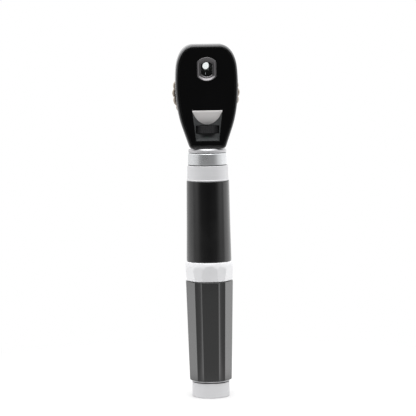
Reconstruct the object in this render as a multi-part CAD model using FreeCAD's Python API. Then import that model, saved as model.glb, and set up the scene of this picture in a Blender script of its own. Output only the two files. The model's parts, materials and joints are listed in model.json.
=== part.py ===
import FreeCAD, Part
import math
import os

# A direct ophthalmoscope standing upright on the end cap of its battery handle.
# Millimetres. +Z is up, the origin is the centre of the end cap's base face.
# The patient side of the head faces -Y, the examiner's side +Y, and +X is to the right
# of someone who faces the patient side.

os.makedirs("parts", exist_ok=True)
V = FreeCAD.Vector

# ---- Clearances ------------------------------------------------------------------
RUN_FIT = 0.06        # radial clearance of a shaft that turns or slides in its bore
SEAT_GAP = 0.05       # gap between two pieces that are fixed together
BODY_GAP = 0.3        # gap between pieces that move past each other

# ---- Handle, from the base up ------------------------------------------------------
CAP_R = 12.7          # end cap
CAP_TOP = 10.0
CAP_FLOOR = 3.0
CAP_EDGE = 1.0
SKIRT_R = 11.0        # male thread of the end cap, drawn as a plain cylinder
SKIRT_TOP = 17.5
SPRING_POCKET_R = 7.2
LIP_R = 13.1          # bright lip of the battery tube below the grip
LIP_BOTTOM = 10.8
GRIP_BOTTOM = 11.7
GRIP_TOP = 79.55
GRIP_R_BOTTOM = 14.5  # corner radius of the twelve-sided grip at its bottom
GRIP_R_TOP = 16.2     # and at its top
GRIP_BORE_R = 12.05
WIDE_HALF = 20.4      # half-angle of a wide flat, degrees; the narrow flutes share the rest
FLUTE_DEPTH = 0.5     # hollow of a narrow flute below its chord
TUBE_R = 12.0         # battery tube and ring journal, outside
CELL_R = 9.2          # one 18650 lithium-ion cell
CELL_BOTTOM = 12.7
CELL_TOP = 77.0
CELL_BORE_R = 9.7
RING_BOTTOM = 79.85   # faceted control ring
RING_TOP = 93.0
RING_R_BOTTOM = 15.85
RING_R_WAIST = 16.55
RING_WAIST_Z = 87.3
RING_R_TOP = 15.75
WIDE_SLOPE = 0.115    # outward lean of the ring's facets for each millimetre upwards
NARROW_SLOPE = 0.06
JOURNAL_TOP = 101.0
KEY_Z = 86.5          # drive key that joins the ring to the rheostat rotor
KEY_R = 1.2
KEY_AZIMUTH = 30.0    # where the key stands with the lamp off, degrees from +X
RING_TRAVEL = 120.0   # off to full brightness
UPPER_BOTTOM = 93.3   # black upper tube
UPPER_TOP = 147.8
UPPER_R_BOTTOM = 15.25
UPPER_R_MIDDLE = 14.8
UPPER_MIDDLE_Z = 118.0
UPPER_R_TOP = 14.45
UPPER_BORE_R = 12.6
COLLAR_BOTTOM = 147.95
COLLAR_TOP = 158.3
COLLAR_R_BOTTOM = 14.2
COLLAR_R_TOP = 13.8
LOCK_BOTTOM = 158.9
LOCK_TOP = 166.8
LOCK_R_BOTTOM = 13.35
LOCK_R_TOP = 13.1
LINER_R = 11.5        # socket liner that the collars sit on
SOCKET_R = 9.0 + RUN_FIT
PIN_R = 2.0           # sprung contact pin
PIN_TIP = 149.4
PIN_TRAVEL = 1.5

# ---- Head --------------------------------------------------------------------------
PLUG_R = 9.0          # spigot of the head, in the handle's socket
PLUG_BOTTOM = 149.9
NECK_R = 7.8          # upper part of the spigot, through the connector ring
RING_SEAT_R = 12.9    # connector ring
RING_SEAT_BOTTOM = 167.1
RING_SEAT_TOP = 169.1
HEAD_BOTTOM = 169.9
HEAD_TOP = 240.1
FRONT_Y = -11.0
REAR_Y = 14.6
SPLIT_Y = 4.6
WALL = 1.8
FRONT_WALL = 2.0
FRONT_EDGE = 2.1      # rounding of the front face's edge
PLATE_INSET = 2.25    # glossy plate let into the front face: distance from the casing's outline
PLATE_THICK = 0.45
REAR_EDGE = 3.0
BEAM_Y = 3.4          # vertical light beam from the lamp to the mirror
SIGHT_Z = 225.4       # horizontal sight line of the examiner
MIRROR_Z = 217.5      # height at which the mirror's face crosses the beam
DIAL_Z = 207.0
DIAL_FRONT = 9.0
DIAL_REAR = 12.4
DIAL_R = 22.95        # tip radius of the scallops
SCALLOP_R = 4.5
LENS_COUNT = 24
LENS_HALF_W = 2.2
LENS_HALF_H = 2.5
RIM_INNER_R = 21.2
AXLE_R = 2.0
SCOOP_TOP = 195.2     # finger scoop: top and bottom edges at the front face
SCOOP_BOTTOM = 175.1
SCOOP_HALF_TOP = 10.1
SCOOP_HALF_BOTTOM = 8.0
SCOOP_AXIS_AHEAD = 4.4    # the trough's axis lies this far in front of the face
UPPER_RAMP_DROP = 1.58    # fall of the upper ramp for each millimetre inwards
LOWER_RAMP_RISE = 0.667   # rise of the lower ramp for each millimetre inwards
TRIM_THICK = 0.3
WHEEL_R = 9.0         # ribbed aperture wheel
WHEEL_Y = -1.2
WHEEL_BOTTOM = 180.4
WHEEL_TOP = 185.3
WHEEL_RIBS = 44
APERTURE_RADIUS = BEAM_Y - WHEEL_Y
WINDOW_Z = 223.5      # window bezel on the front face
BEZEL_R = 8.0
BEZEL_HALF = 6.45
OPENING_R = 5.05
OPENING_HALF = 3.85
BEZEL_PROUD = 0.7     # the bezel's rim stands this far in front of the plate
DISH_DEPTH = 1.5      # fall of the bezel's dish from its rim to the opening
DISH_RIM = 0.3        # flat width of the rim round the dish
SCREW_PLACES = [(10.0, 233.5), (-10.0, 233.5), (10.2, 176.6), (-10.2, 176.6)]
SCREW_BOSS_R = 2.3


# ---- Small tools -------------------------------------------------------------------
def cyl(r, z0, z1, x=0.0, y=0.0):
    return Part.makeCylinder(r, z1 - z0, V(x, y, z0))


def tube(r_out, r_in, z0, z1, x=0.0, y=0.0):
    return cyl(r_out, z0, z1, x, y).cut(cyl(r_in, z0 - 1, z1 + 1, x, y))


def cyl_y(r, y0, y1, x=0.0, z=0.0):
    return Part.makeCylinder(r, y1 - y0, V(x, y0, z), V(0, 1, 0))


def box(x0, x1, y0, y1, z0, z1):
    return Part.makeBox(x1 - x0, y1 - y0, z1 - z0, V(x0, y0, z0))


def turned(profile, y=0.0):
    """A solid of revolution about a vertical axis from (radius, z) points."""
    points = [V(r, 0, z) for r, z in profile]
    face = Part.Face(Part.makePolygon(points + points[:1]))
    solid = face.revolve(V(0, 0, 0), V(0, 0, 1), 360)
    solid.translate(V(0, y, 0))
    return solid


def turned_y(profile, z):
    """A solid of revolution about an axis along Y at height z, from (radius, y) points."""
    points = [V(r, y, z) for r, y in profile]
    face = Part.Face(Part.makePolygon(points + points[:1]))
    return face.revolve(V(0, 0, z), V(0, 1, 0), 360)


def prism_x(points, x0, x1):
    """A prism along X from a polygon of (y, z) points."""
    corners = [V(x0, y, z) for y, z in points]
    return Part.Face(Part.makePolygon(corners + corners[:1])).extrude(V(x1 - x0, 0, 0))


def fuse(first, *others):
    return first.multiFuse(list(others)).removeSplitter()


def cut(base, *tools):
    return base.cut(list(tools))


def helix_spring(radius, wire_r, z0, z1, turns):
    """A compression spring whose wire stays between z0 and z1."""
    height = z1 - z0 - 2 * wire_r
    path = Part.makeHelix(height / turns, height, radius)
    ring = Part.Wire(Part.makeCircle(wire_r, V(radius, 0, 0), V(0, 1, 0)))
    spring = Part.Wire(path.Edges).makePipeShell([ring], True, True)
    spring.translate(V(0, 0, z0 + wire_r))
    return spring


def save(name, shape):
    solids = shape.Solids
    if not solids or not shape.isValid():
        print("BAD SHAPE", name)
    result = solids[0] if len(solids) == 1 else Part.makeCompound(solids)
    result.exportStep("parts/" + name + ".step")
    print(name, len(solids), round(sum(s.Volume for s in solids), 1))


# ---- Handle ------------------------------------------------------------------------
def make_end_cap():
    body = turned([(0, 0), (CAP_R - CAP_EDGE, 0), (CAP_R - 0.3, 0.3), (CAP_R, CAP_EDGE),
                   (CAP_R, CAP_TOP - 0.3), (CAP_R - 0.3, CAP_TOP), (SKIRT_R, CAP_TOP),
                   (SKIRT_R, SKIRT_TOP), (0, SKIRT_TOP)])
    pocket = cyl(SPRING_POCKET_R, CAP_FLOOR, CAP_TOP)
    throat = cyl(CELL_BORE_R, CAP_TOP, SKIRT_TOP + 1)
    save("end_cap", cut(body, pocket, throat))


def make_cap_seal():
    circle = Part.makeCircle(0.3, V(SKIRT_R + 0.38, 0, CAP_TOP + 0.33), V(0, 1, 0))
    section = Part.Face(Part.Wire(circle))
    save("cap_seal", section.revolve(V(0, 0, 0), V(0, 0, 1), 360))


def make_battery_spring():
    save("battery_spring", helix_spring(5.6, 0.5, CAP_FLOOR + SEAT_GAP, CELL_BOTTOM - BODY_GAP, 4.0))


def make_battery_tube():
    thread_r = SKIRT_R + 0.1
    body = turned([(thread_r, LIP_BOTTOM), (LIP_R - 0.2, LIP_BOTTOM), (LIP_R, LIP_BOTTOM + 0.2),
                   (LIP_R, GRIP_BOTTOM - 0.1), (TUBE_R, GRIP_BOTTOM - 0.1), (TUBE_R, 79.0),
                   (11.0, 79.0), (11.0, 72.0), (CELL_BORE_R, 72.0), (CELL_BORE_R, 18.0),
                   (thread_r, 18.0)])
    save("battery_tube", body)


def around(radius, degrees, z):
    a = math.radians(degrees)
    return V(radius * math.cos(a), radius * math.sin(a), z)


def fluted_outline(radius, z):
    """Six wide flats, one of them facing -Y, with a shallow hollow flute between neighbours."""
    flute_r = radius * math.cos(math.radians(30 - WIDE_HALF)) - FLUTE_DEPTH
    edges = []
    for side in range(6):
        middle = -90 + 60 * side
        flat_start = around(radius, middle - WIDE_HALF, z)
        flat_end = around(radius, middle + WIDE_HALF, z)
        flute_middle = around(flute_r, middle + 30, z)
        next_flat = around(radius, middle + 60 - WIDE_HALF, z)
        edges.append(Part.makeLine(flat_start, flat_end))
        edges.append(Part.Arc(flat_end, flute_middle, next_flat).toShape())
    return Part.Wire(edges)


def make_grip_sleeve():
    low = fluted_outline(GRIP_R_BOTTOM, GRIP_BOTTOM)
    high = fluted_outline(GRIP_R_TOP, GRIP_TOP)
    body = Part.makeLoft([low, high], True, True)
    edge_r = GRIP_R_BOTTOM - 0.7
    limit = turned([(0, GRIP_BOTTOM), (edge_r, GRIP_BOTTOM), (edge_r + 1.4, GRIP_BOTTOM + 1.4),
                    (edge_r + 4, GRIP_TOP), (0, GRIP_TOP)])
    save("grip_sleeve", cut(body.common(limit), cyl(GRIP_BORE_R, 0, 100)))


def make_battery_cell():
    can = turned([(0, CELL_BOTTOM), (CELL_R - 0.8, CELL_BOTTOM), (CELL_R, CELL_BOTTOM + 0.8),
                  (CELL_R, CELL_TOP - 0.8), (CELL_R - 0.8, CELL_TOP), (4.6, CELL_TOP),
                  (4.6, CELL_TOP - 0.9), (0, CELL_TOP - 0.9)])
    save("battery_cell", can)


def make_battery_terminal():
    base = CELL_TOP - 0.9 + SEAT_GAP
    body = turned([(0, base), (4.4, base), (4.4, base + 0.5), (3.4, base + 0.8),
                   (3.0, CELL_TOP + 0.7), (0, CELL_TOP + 0.7)])
    save("battery_terminal", body)


def make_contact_disc():
    body = turned([(2.1, 78.5), (CELL_R, 78.5), (CELL_R, 80.3), (9.9, 80.3), (9.9, 81.9),
                   (2.1, 81.9)])
    save("contact_disc", body)


def make_positive_contact():
    bottom = CELL_TOP + 0.7 + SEAT_GAP
    rivet = turned([(0, bottom), (3.0, bottom), (3.4, 78.1), (3.4, 78.45), (2.0, 78.45),
                    (2.0, 81.85), (0, 81.85)])
    save("positive_contact", rivet)


def make_ring_journal():
    """Tube that joins grip and upper tube and carries the control ring, slotted for the drive key."""
    body = turned([(CELL_BORE_R, 72.05), (10.95, 72.05), (10.95, 79.05), (TUBE_R, 79.05),
                   (TUBE_R, JOURNAL_TOP), (10.2, JOURNAL_TOP), (10.2, 80.25), (CELL_BORE_R, 80.25)])
    slack = math.degrees((KEY_R + BODY_GAP) / TUBE_R)
    start = KEY_AZIMUTH - slack
    sweep = RING_TRAVEL + 2 * slack
    slot_half = KEY_R + BODY_GAP
    slot = Part.makeCylinder(TUBE_R + 1, 2 * slot_half, V(0, 0, KEY_Z - slot_half), V(0, 0, 1), sweep)
    slot.rotate(V(0, 0, 0), V(0, 0, 1), start)
    save("ring_journal", body.cut(slot))


def ring_flat(azimuth, low_apothem, slope):
    """Everything outside a plane that leans outwards as it rises, at one azimuth."""
    z0 = RING_BOTTOM
    z1 = RING_TOP
    far = 30.0
    points = [(low_apothem, z0), (low_apothem + slope * (z1 - z0), z1), (far, z1), (far, z0)]
    block = prism_x([(-a, z) for a, z in points], -far, far)
    block.rotate(V(0, 0, 0), V(0, 0, 1), azimuth + 90)
    return block


def make_control_ring():
    edge = 0.7
    barrel = Part.Wire([
        Part.makeLine(V(RING_R_TOP, 0, RING_TOP - edge), V(RING_R_TOP - 0.3, 0, RING_TOP)),
        Part.makeLine(V(RING_R_TOP - 0.3, 0, RING_TOP), V(TUBE_R + RUN_FIT, 0, RING_TOP)),
        Part.makeLine(V(TUBE_R + RUN_FIT, 0, RING_TOP), V(TUBE_R + RUN_FIT, 0, RING_BOTTOM)),
        Part.makeLine(V(TUBE_R + RUN_FIT, 0, RING_BOTTOM), V(RING_R_BOTTOM - 0.3, 0, RING_BOTTOM)),
        Part.makeLine(V(RING_R_BOTTOM - 0.3, 0, RING_BOTTOM), V(RING_R_BOTTOM, 0, RING_BOTTOM + edge)),
        Part.Arc(V(RING_R_BOTTOM, 0, RING_BOTTOM + edge), V(RING_R_WAIST, 0, RING_WAIST_Z),
                 V(RING_R_TOP, 0, RING_TOP - edge)).toShape()])
    ring = Part.Face(barrel).revolve(V(0, 0, 0), V(0, 0, 1), 360)
    wide_low = RING_R_BOTTOM * math.cos(math.radians(WIDE_HALF))
    narrow_low = RING_R_BOTTOM * math.cos(math.radians(30 - WIDE_HALF))
    cuts = []
    for side in range(6):
        cuts.append(ring_flat(-90 + 60 * side, wide_low, WIDE_SLOPE))
        cuts.append(ring_flat(-60 + 60 * side, narrow_low, NARROW_SLOPE))
    ring = cut(ring, *cuts)
    key_hole = cyl(KEY_R + SEAT_GAP, 0, 13.7)
    key_hole.rotate(V(0, 0, 0), V(0, 1, 0), 90)
    key_hole.translate(V(0, 0, KEY_Z))
    key_hole.rotate(V(0, 0, 0), V(0, 0, 1), KEY_AZIMUTH)
    save("control_ring", ring.cut(key_hole))


def make_drive_key():
    key = cyl(KEY_R, 6.0, 13.6)
    key.rotate(V(0, 0, 0), V(0, 1, 0), 90)
    key.translate(V(0, 0, KEY_Z))
    key.rotate(V(0, 0, 0), V(0, 0, 1), KEY_AZIMUTH)
    save("drive_key", key)


def make_rheostat_rotor():
    body = turned([(3.0, 84.3), (10.2 - RUN_FIT, 84.3), (10.2 - RUN_FIT, 89.0), (3.0, 89.0)])
    hole = cyl(KEY_R + SEAT_GAP, 5.9, 12.0)
    hole.rotate(V(0, 0, 0), V(0, 1, 0), 90)
    hole.translate(V(0, 0, KEY_Z))
    hole.rotate(V(0, 0, 0), V(0, 0, 1), KEY_AZIMUTH)
    save("rheostat_rotor", body.cut(hole))


def make_rotor_wiper():
    """Brass leaf with two fingers under the rotor, just over the carbon track."""
    leaf = Part.makeCylinder(8.6, 0.25, V(0, 0, 84.0), V(0, 0, 1), 50)
    leaf = leaf.cut(cyl(5.4, 83, 85))
    leaf.rotate(V(0, 0, 0), V(0, 0, 1), KEY_AZIMUTH + 160)
    gap = Part.makeCylinder(7.2, 1.0, V(0, 0, 83.5), V(0, 0, 1), 34).cut(cyl(6.8, 83, 85))
    gap.rotate(V(0, 0, 0), V(0, 0, 1), KEY_AZIMUTH + 160)
    save("rotor_wiper", leaf.cut(gap))


def make_rheostat_board():
    board = turned([(2.3, 82.0), (9.9, 82.0), (9.9, 83.2), (2.3, 83.2)])
    save("rheostat_board", board)


def make_carbon_track():
    track = Part.makeCylinder(8.8, 0.3, V(0, 0, 83.25), V(0, 0, 1), 200).cut(cyl(5.2, 83, 84))
    track.rotate(V(0, 0, 0), V(0, 0, 1), KEY_AZIMUTH + 140)
    save("carbon_track", track)


def make_board_carrier():
    """Plastic spine between two discs that carries the lamp driver board."""
    low = cyl(10.1, 90.0, 92.0)
    high = cyl(12.4, 131.0, 133.4)
    spine = box(-6.0, 6.0, 2.6, 4.6, 91.0, 132.0)
    wire_way = cyl(2.3, 89.0, 135.0)
    save("board_carrier", fuse(low, high, spine).cut(wire_way))


def make_driver_board():
    """Lamp driver board with its coil, chip, capacitor and diode."""
    board = box(-8.0, 8.0, 0.95, 2.5, 93.0, 130.0)
    chip = box(-3.0, 3.0, -0.5, 1.0, 112.0, 118.0)
    coil = cyl_y(3.6, -3.4, 1.0, 0.0, 104.0)
    capacitor = cyl_y(2.4, -4.6, 1.0, -3.6, 124.5)
    diode = box(2.4, 5.6, -1.2, 1.0, 122.0, 127.0)
    save("driver_board", fuse(board, chip, coil, capacitor, diode))


def make_upper_tube():
    seat_r = TUBE_R + SEAT_GAP
    body = turned([(seat_r, UPPER_BOTTOM), (UPPER_R_BOTTOM - 0.25, UPPER_BOTTOM),
                   (UPPER_R_BOTTOM, UPPER_BOTTOM + 0.3), (UPPER_R_MIDDLE, UPPER_MIDDLE_Z),
                   (UPPER_R_TOP, UPPER_TOP - 0.3), (UPPER_R_TOP - 0.3, UPPER_TOP),
                   (UPPER_BORE_R, UPPER_TOP), (UPPER_BORE_R, JOURNAL_TOP + 0.3),
                   (seat_r, JOURNAL_TOP + 0.3)])
    save("upper_tube", body)


def make_neck_collar():
    body = turned([(LINER_R + SEAT_GAP, COLLAR_BOTTOM), (COLLAR_R_BOTTOM - 0.3, COLLAR_BOTTOM),
                   (COLLAR_R_BOTTOM, COLLAR_BOTTOM + 0.35), (13.95, COLLAR_BOTTOM + 1.0),
                   (COLLAR_R_TOP, COLLAR_TOP - 0.3), (COLLAR_R_TOP - 0.3, COLLAR_TOP),
                   (LINER_R + SEAT_GAP, COLLAR_TOP)])
    save("neck_collar", body)


def make_collar_washer():
    save("collar_washer", tube(12.9, LINER_R + SEAT_GAP, COLLAR_TOP + SEAT_GAP, LOCK_BOTTOM - SEAT_GAP))


def make_lock_collar():
    body = turned([(LINER_R + SEAT_GAP, LOCK_BOTTOM), (LOCK_R_BOTTOM - 0.2, LOCK_BOTTOM),
                   (LOCK_R_BOTTOM, LOCK_BOTTOM + 0.2), (LOCK_R_TOP, LOCK_TOP - 0.6),
                   (LOCK_R_TOP - 0.6, LOCK_TOP), (LINER_R + SEAT_GAP, LOCK_TOP)])
    save("lock_collar", body)


def make_socket_liner():
    """Metal sleeve that the head plugs into; its flange hangs under the collars in the tube."""
    body = turned([(SOCKET_R, 138.2), (12.4, 138.2), (12.4, 140.2), (LINER_R, 140.2),
                   (LINER_R, LOCK_TOP - 0.2), (SOCKET_R, LOCK_TOP - 0.2)])
    save("socket_liner", body)


def make_socket_insulator():
    outer = PLUG_R - SEAT_GAP
    body = turned([(0, 134.0), (outer, 134.0), (outer, 147.4), (0, 147.4)])
    chamber = cyl(3.6, 136.0, 145.5)
    guide = cyl(PIN_R + RUN_FIT, 145.0, 148.0)
    base_hole = cyl(1.6, 133.0, 137.0)
    save("socket_insulator", cut(body, chamber, guide, base_hole))


def make_contact_pin():
    body = turned([(0, 142.2), (3.3, 142.2), (3.3, 145.2), (PIN_R, 145.2), (PIN_R, PIN_TIP - 0.6),
                   (PIN_R - 0.8, PIN_TIP), (0, PIN_TIP)])
    save("contact_pin", body)


def make_contact_spring():
    save("contact_spring", helix_spring(2.6, 0.3, 136.05, 142.15, 5.0))


def make_conductor_rod():
    """Brass rod from the driver board up to the seat of the contact spring."""
    rod = cyl(1.5, 133.5, 136.0)
    flange = cyl(2.2, 130.2, 133.5)
    save("conductor_rod", fuse(rod, flange))


# ---- Head: outline, shells ------------------------------------------------------------
def bezier(points, inset):
    """A cubic curve from its four control points, moved inwards, to its right, by the inset."""
    first, handle_a, handle_b, last = points
    leave = (handle_a - first).normalize()
    arrive = (last - handle_b).normalize()
    start = first + V(leave.z, 0, -leave.x) * inset
    end = last + V(arrive.z, 0, -arrive.x) * inset
    shrink = (end - start).Length / (last - first).Length
    curve = Part.BezierCurve()
    curve.setPoles([start, start + (handle_a - first) * shrink, end + (handle_b - last) * shrink, end])
    return curve.toShape()


def head_wire(inset):
    """Outline of the casing seen from the front: flat top, round shoulders, tapering sides."""
    top_half = 8.5
    top_z = HEAD_TOP - inset
    bottom_z = HEAD_BOTTOM + inset
    widest = V(20.5, 0, 224.0)
    lean = V(0.09, 0, -1.0)
    taper_start = V(16.7, 0, 183.9)
    taper = V(-3.95, 0, -11.5).normalize()
    shoulder = bezier([V(top_half, 0, HEAD_TOP), V(15.2, 0, HEAD_TOP), widest - lean * 9.5, widest], inset)
    side = bezier([widest, widest + lean * 13, taper_start - taper * 12.5, taper_start], inset)
    straight_start = taper_start + V(taper.z, 0, -taper.x) * inset
    corner_r = 2.8 - inset
    turn = math.acos(-taper.x)
    run = corner_r * math.tan(turn / 2)
    corner = straight_start + taper * ((bottom_z - straight_start.z) / taper.z)
    corner_start = corner - taper * run
    corner_end = corner - V(run, 0, 0)
    centre = corner_end + V(0, 0, corner_r)
    corner_middle = centre + (corner - centre).normalize() * corner_r
    straight = Part.makeLine(straight_start, corner_start)
    round_corner = Part.Arc(corner_start, corner_middle, corner_end).toShape()
    right = [shoulder, side, straight, round_corner]
    left = [edge.mirror(V(0, 0, 0), V(1, 0, 0)) for edge in right]
    top = Part.makeLine(V(-top_half, 0, top_z), V(top_half, 0, top_z))
    bottom = Part.makeLine(corner_end, V(-corner_end.x, 0, bottom_z))
    return Part.Wire(Part.__sortEdges__([top, bottom] + right + left))


def head_block(inset, y0, y1):
    face = Part.Face(head_wire(inset))
    face.translate(V(0, y0, 0))
    return face.extrude(V(0, y1 - y0, 0))


def edges_at(shape, y):
    return [e for e in shape.Edges if abs(e.BoundBox.YMin - y) < 1e-3 and abs(e.BoundBox.YMax - y) < 1e-3]


def scoop_radius(z):
    """Radius of the tapered trough of the finger scoop at height z."""
    low = math.hypot(SCOOP_HALF_BOTTOM, SCOOP_AXIS_AHEAD)
    high = math.hypot(SCOOP_HALF_TOP, SCOOP_AXIS_AHEAD)
    return low + (high - low) * (z - SCOOP_BOTTOM) / (SCOOP_TOP - SCOOP_BOTTOM)


def scoop_cone(grow=0.0):
    z0 = 168.0
    z1 = 206.0
    centre = V(0, FRONT_Y - SCOOP_AXIS_AHEAD, z0)
    return Part.makeCone(scoop_radius(z0) + grow, scoop_radius(z1) + grow, z1 - z0, centre)


def upper_ramp(y, lift=0.0):
    return SCOOP_TOP - UPPER_RAMP_DROP * (y - FRONT_Y) + lift


def lower_ramp(y, lift=0.0):
    return SCOOP_BOTTOM + LOWER_RAMP_RISE * (y - FRONT_Y) + lift


def scoop_volume():
    ahead = FRONT_Y - 5
    deep = -4.0
    sides = [(ahead, upper_ramp(ahead)), (deep, upper_ramp(deep)), (deep, lower_ramp(deep)),
             (ahead, lower_ramp(ahead))]
    return scoop_cone().common(prism_x(sides, -14, 14))


def scoop_trim_volume(thickness):
    """A slab on the scoop's upper ramp, inside the trough's cone and behind the front face."""
    lift = thickness * math.hypot(1, UPPER_RAMP_DROP)
    deep = -4.6
    sides = [(FRONT_Y, upper_ramp(FRONT_Y)), (deep, upper_ramp(deep)), (deep, upper_ramp(deep, lift)),
             (FRONT_Y, upper_ramp(FRONT_Y, lift))]
    return scoop_cone().common(prism_x(sides, -14, 14))


def window_shape(radius, half_width, y0, y1):
    """A round bar along Y with flat left and right sides, on the window's centre."""
    slab = box(-half_width, half_width, y0, y1, WINDOW_Z - radius - 1, WINDOW_Z + radius + 1)
    return cyl_y(radius, y0, y1, 0, WINDOW_Z).common(slab)


def make_shells():
    block = head_block(0, FRONT_Y, REAR_Y)
    block = block.makeFillet(FRONT_EDGE, edges_at(block, FRONT_Y))
    block = block.makeFillet(REAR_EDGE, edges_at(block, REAR_Y))
    cavity = head_block(WALL, FRONT_Y + FRONT_WALL, REAR_Y - WALL)
    backing = [(-9.5, 196.4), (-2.6, 185.6), (-2.6, 178.3), (-9.5, 173.7)]
    scoop_back = scoop_cone(1.6).common(prism_x(backing, -14, 14))
    bosses = [cyl_y(SCREW_BOSS_R, FRONT_Y + 1, REAR_Y - 1, x, z) for x, z in SCREW_PLACES]
    cavity = cut(cavity, scoop_back, *bosses)
    casing = block.cut(cavity).cut(cyl(NECK_R + SEAT_GAP, 165, 173))
    reach = 40
    front = casing.common(box(-reach, reach, FRONT_Y - 1, SPLIT_Y - 0.03, 160, 250))
    rear = casing.common(box(-reach, reach, SPLIT_Y + 0.03, REAR_Y + 1, 160, 250))
    wheel_room = cyl(WHEEL_R + 0.35, WHEEL_BOTTOM - BODY_GAP, WHEEL_TOP + BODY_GAP, 0, WHEEL_Y)
    wheel_slot = box(-7.9, 7.9, FRONT_Y + 0.1, -2.0, WHEEL_BOTTOM - BODY_GAP, WHEEL_TOP + BODY_GAP)
    pilots = [cyl_y(0.8, 0, SPLIT_Y + 1, x, z) for x, z in SCREW_PLACES]
    plate_recess = head_block(PLATE_INSET - SEAT_GAP, FRONT_Y - 1, FRONT_Y + PLATE_THICK + SEAT_GAP)
    bezel_hole = window_shape(BEZEL_R - 1.2, BEZEL_HALF - 1.2, FRONT_Y - 1, FRONT_Y + 4)
    trim_seat = scoop_trim_volume(TRIM_THICK + SEAT_GAP)
    front = cut(front, plate_recess, scoop_volume(), trim_seat, wheel_room, wheel_slot, bezel_hole, *pilots)
    save("front_shell", front)
    dial_slot = box(-reach, reach, DIAL_FRONT - BODY_GAP, DIAL_REAR + BODY_GAP, 196.0, 215.8)
    dial_groove = cyl_y(DIAL_R + BODY_GAP, DIAL_FRONT - BODY_GAP, DIAL_REAR + BODY_GAP, 0, DIAL_Z)
    eye_hole = cyl_y(4.3, 10, 20, 0, SIGHT_Z)
    axle_hole = cyl_y(AXLE_R + SEAT_GAP, 10, 20, 0, DIAL_Z)
    axle_recess = cyl_y(3.6, REAR_Y - 0.8, 20, 0, DIAL_Z)
    readout_hole = box(-3.6, 3.6, 10, 20, 191.0, 196.4)
    screw_holes = []
    for x, z in SCREW_PLACES:
        screw_holes.append(cyl_y(1.05, 0, 20, x, z))
        screw_holes.append(cyl_y(2.0, REAR_Y - 1.6, 20, x, z))
    openings = [dial_slot, dial_groove, eye_hole, axle_hole, axle_recess, readout_hole] + screw_holes
    save("rear_shell", cut(rear, *openings))


def make_front_plate():
    """Thin plate let into the front face, open round the window bezel and over the scoop."""
    plate = head_block(PLATE_INSET, FRONT_Y, FRONT_Y + PLATE_THICK)
    bezel_hole = window_shape(BEZEL_R - 1.2, BEZEL_HALF - 1.2, FRONT_Y - 1, FRONT_Y + 1)
    save("front_plate", cut(plate, scoop_volume(), scoop_trim_volume(TRIM_THICK + SEAT_GAP), bezel_hole))


def make_head_screws():
    """Four cross-slot screws through the rear shell and two small ones on the mirror bracket's feet."""
    screws = []
    for x, z in SCREW_PLACES:
        head = cyl_y(1.9, REAR_Y - 1.55, REAR_Y - 0.35, x, z)
        shank = cyl_y(0.95, SPLIT_Y, REAR_Y - 1.5, x, z)
        tip = cyl_y(0.75, 0.5, SPLIT_Y + 0.1, x, z)
        slot = box(x - 0.22, x + 0.22, REAR_Y - 0.75, REAR_Y, z - 1.3, z + 1.3)
        cross = box(x - 1.3, x + 1.3, REAR_Y - 0.75, REAR_Y, z - 0.22, z + 0.22)
        screws.append(cut(fuse(head, shank, tip), slot, cross))
    behind = FRONT_Y + FRONT_WALL
    for x in (-8.2, 8.2):
        screws.append(cyl_y(1.2, behind + 1.45, behind + 2.2, x, 214.2))
    save("head_screws", Part.makeCompound(screws))


def make_scoop_trim():
    save("scoop_trim", scoop_trim_volume(TRIM_THICK))


def window_outline(radius, half_width, y):
    """Circle with its left and right sides cut flat, as a wire at one depth."""
    height = math.sqrt(radius ** 2 - half_width ** 2)
    corners = [V(x, y, WINDOW_Z + z) for x, z in ((-half_width, height), (half_width, height),
                                                  (half_width, -height), (-half_width, -height))]
    top = Part.Arc(corners[0], V(0, y, WINDOW_Z + radius), corners[1]).toShape()
    right = Part.makeLine(corners[1], corners[2])
    bottom = Part.Arc(corners[2], V(0, y, WINDOW_Z - radius), corners[3]).toShape()
    left = Part.makeLine(corners[3], corners[0])
    return Part.Wire([top, right, bottom, left])


def make_window_bezel():
    """Dished ring round the window: its rim is proud of the plate, its slope falls to the opening."""
    rim_y = FRONT_Y - BEZEL_PROUD
    flange = window_shape(BEZEL_R, BEZEL_HALF, rim_y, FRONT_Y)
    barrel = window_shape(BEZEL_R - 1.25, BEZEL_HALF - 1.25, FRONT_Y - 0.1, FRONT_Y + 3.0)
    body = fuse(flange, barrel)
    body = body.makeChamfer(0.2, edges_at(body, rim_y))
    wide = window_outline(BEZEL_R - 0.2 - DISH_RIM, BEZEL_HALF - 0.2 - DISH_RIM, rim_y)
    narrow = window_outline(OPENING_R, OPENING_HALF, rim_y + DISH_DEPTH)
    dish = Part.makeLoft([wide, narrow], True, True)
    opening = window_shape(OPENING_R, OPENING_HALF, rim_y, FRONT_Y + 4)
    seat = window_shape(OPENING_R + 0.7, OPENING_HALF + 0.7, FRONT_Y + 1.8, FRONT_Y + 4)
    save("window_bezel", cut(body, dish, opening, seat))


def make_window_glass():
    pane = window_shape(OPENING_R + 0.65, OPENING_HALF + 0.65, FRONT_Y + 1.85, FRONT_Y + 2.8)
    save("window_glass", pane)


# ---- Head: light path --------------------------------------------------------------
def mirror_slab(half_width, low_z, high_z, near, far):
    """Plate at 45 degrees whose face runs through the beam; near and far are depths behind it."""
    face_sum = BEAM_Y + MIRROR_Z
    step = 1 / math.sqrt(2)
    points = []
    for z, depth in ((low_z, near), (high_z, near), (high_z, far), (low_z, far)):
        points.append((face_sum - z + depth * step, z + depth * step))
    return prism_x(points, -half_width, half_width)


def make_mirror():
    save("mirror", mirror_slab(3.5, 213.6, 222.1, 0.0, 1.0))


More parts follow.
